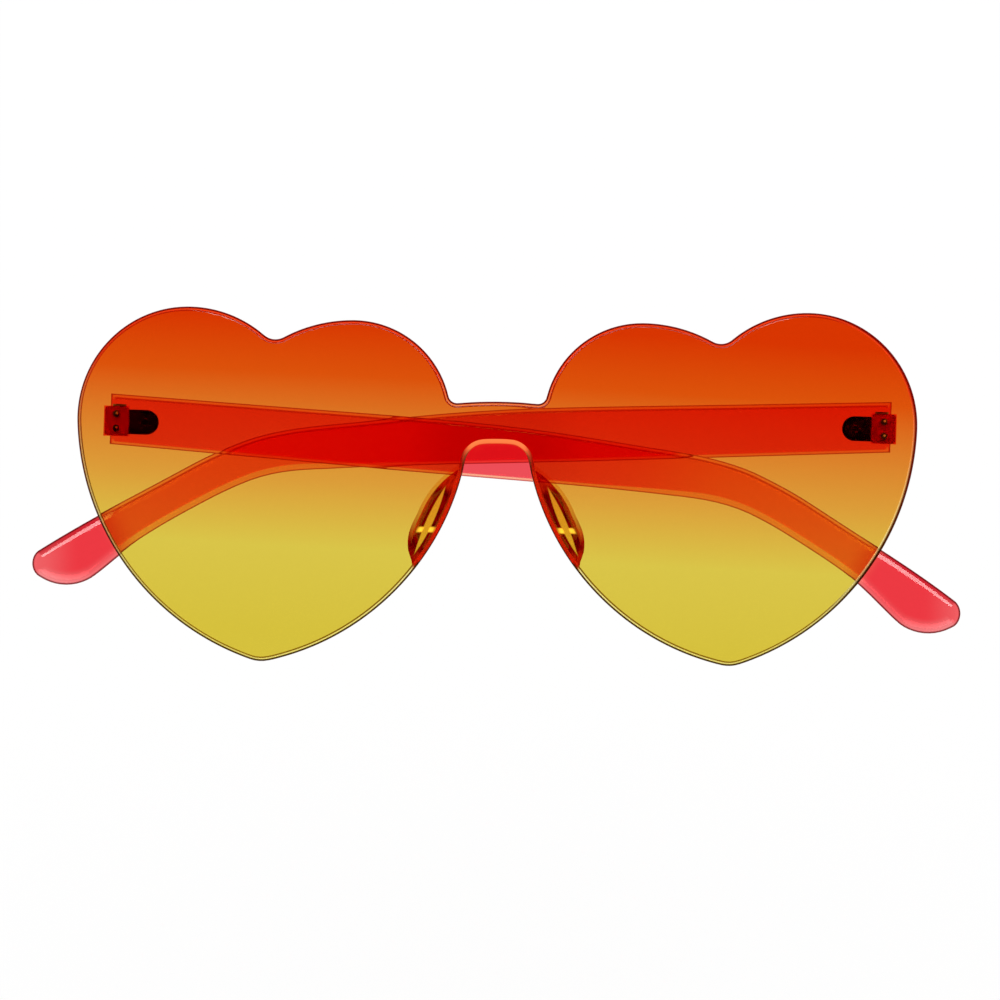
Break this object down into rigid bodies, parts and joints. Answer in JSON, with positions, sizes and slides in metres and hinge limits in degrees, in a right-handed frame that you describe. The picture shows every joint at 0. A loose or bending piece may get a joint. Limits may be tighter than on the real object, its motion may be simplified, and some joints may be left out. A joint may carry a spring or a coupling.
{
  "type": "heart shaped sunglasses",
  "caption": "Rimless heart shaped sunglasses: a tinted shield lens with nose pads, and temples that fold on small metal hinges, to shade the eyes.",
  "frame": {"origin": "under the middle of the folded glasses, on the surface they lie on", "axes": "+X across the face to the wearer's left, +Y from chin to brow, +Z out of the front of the lens"},
  "size_m": [0.1626, 0.0611, 0.0235],
  "materials": {
    "tinted_lens": "clear tint from red-orange at the brow to yellow at the cheek",
    "temple_plastic": "translucent coral red, polished",
    "pad_plastic": "clear amber, moulded",
    "hinge_metal": "dark plated",
    "screw_metal": "plated"
  },
  "bodies": {
    "front": {"lens": "tinted_lens", "left_nose_pad": "pad_plastic", "left_front_leaf": "hinge_metal", "left_hinge_screw": "screw_metal", "right_nose_pad": "pad_plastic", "right_front_leaf": "hinge_metal", "right_hinge_screw": "screw_metal"},
    "left_temple": {"left_temple": "temple_plastic", "left_temple_leaf": "hinge_metal", "left_temple_rivet": "screw_metal"},
    "right_temple": {"right_temple": "temple_plastic", "right_temple_leaf": "hinge_metal", "right_temple_rivet": "screw_metal"}
  },
  "joints": [
    {"name": "left_hinge", "type": "hinge", "parent": "front", "child": "left_temple", "pos_m": [0.0668, 0.0104, 0.00674], "axis": [-0.0209, -0.9998, 0], "range_deg": [0, 86.95]},
    {"name": "right_hinge", "type": "hinge", "parent": "front", "child": "right_temple", "pos_m": [-0.0658, 0.0104, 0.00674], "axis": [0.0209, 0.9998, 0], "range_deg": [0, 90]}
  ]
}
